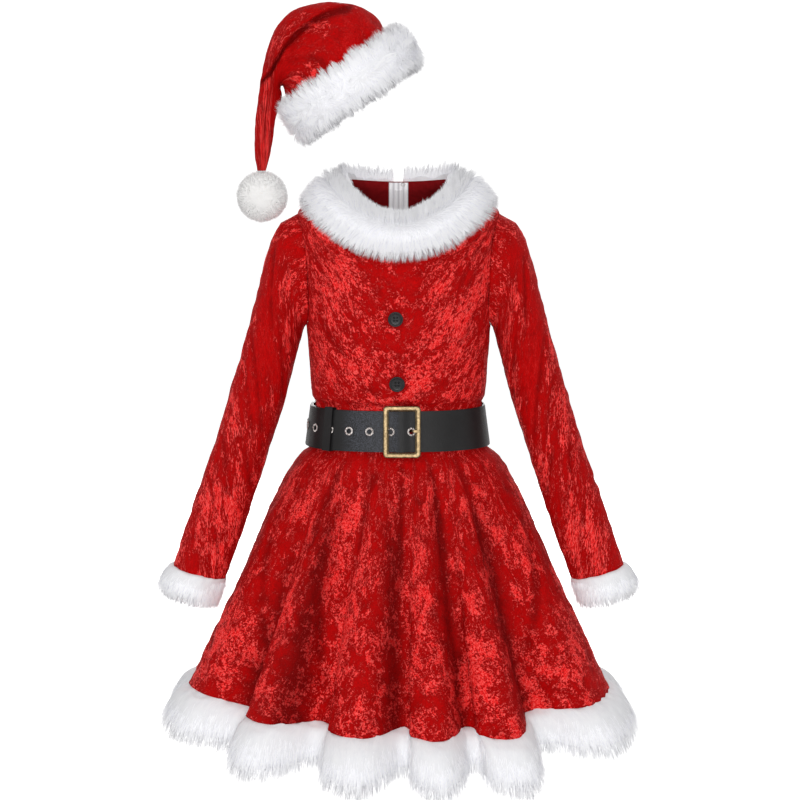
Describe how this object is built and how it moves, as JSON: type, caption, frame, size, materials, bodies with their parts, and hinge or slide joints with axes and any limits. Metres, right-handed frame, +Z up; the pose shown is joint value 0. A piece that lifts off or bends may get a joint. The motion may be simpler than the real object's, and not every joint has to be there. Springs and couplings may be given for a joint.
{
  "type": "santa dress costume with belt and hat",
  "caption": "Child's long-sleeved crushed velvet santa dress, filled out as worn and hollow, with white fur trim, a wide buckled belt and a matching hat.",
  "frame": {"origin": "middle of the neck opening, level with the shoulder seams, where the wearer's shoulders hold the dress", "axes": "+Z up; the front faces -Y; +X is the wearer's left. The hat stands above the wearer's right shoulder, as in the picture"},
  "size_m": [0.5722, 0.4785, 0.8975],
  "materials": {
    "velvet": "crushed panne velvet with a short bright pile",
    "fur": "long-pile white imitation fur",
    "leather": "grained black, semi-gloss",
    "antique_brass": "antique, satin",
    "steel": "polished",
    "button": "glossy black",
    "zip_tape": "white woven tape and coil"
  },
  "bodies": {
    "garment": {"bodice_front": "velvet", "bodice_back_left_side": "velvet", "bodice_back_right_side": "velvet", "sleeve_left_side": "velvet", "sleeve_right_side": "velvet", "skirt_front": "velvet", "skirt_back": "velvet", "collar_fur": "fur", "cuff_fur_left_side": "fur", "cuff_fur_right_side": "fur", "hem_fur_front": "fur", "hem_fur_back": "fur", "button_upper": "button", "button_lower": "button", "zip_tape_left_side": "zip_tape", "zip_tape_right_side": "zip_tape", "zip_chain": "zip_tape", "zip_slider": "steel", "belt_strap": "leather", "belt_keeper": "leather", "buckle_frame": "antique_brass", "buckle_prong": "antique_brass", "belt_eyelet_1": "steel", "belt_eyelet_2": "steel", "belt_eyelet_3": "steel", "belt_eyelet_4": "steel", "belt_eyelet_5": "steel", "belt_eyelet_6": "steel", "belt_eyelet_7": "steel", "belt_eyelet_8": "steel", "hat_front": "velvet", "hat_back": "velvet", "hat_fur_band": "fur", "hat_pompom": "fur"},
    "pull_tab": {"zip_pull_tab": "steel"}
  },
  "joints": [
    {"name": "pull_tab_hinge", "type": "hinge", "parent": "garment", "child": "pull_tab", "pos_m": [0, 0.06079, -0.00707], "axis": [1, 0, 0], "range_deg": [0, 150]}
  ]
}
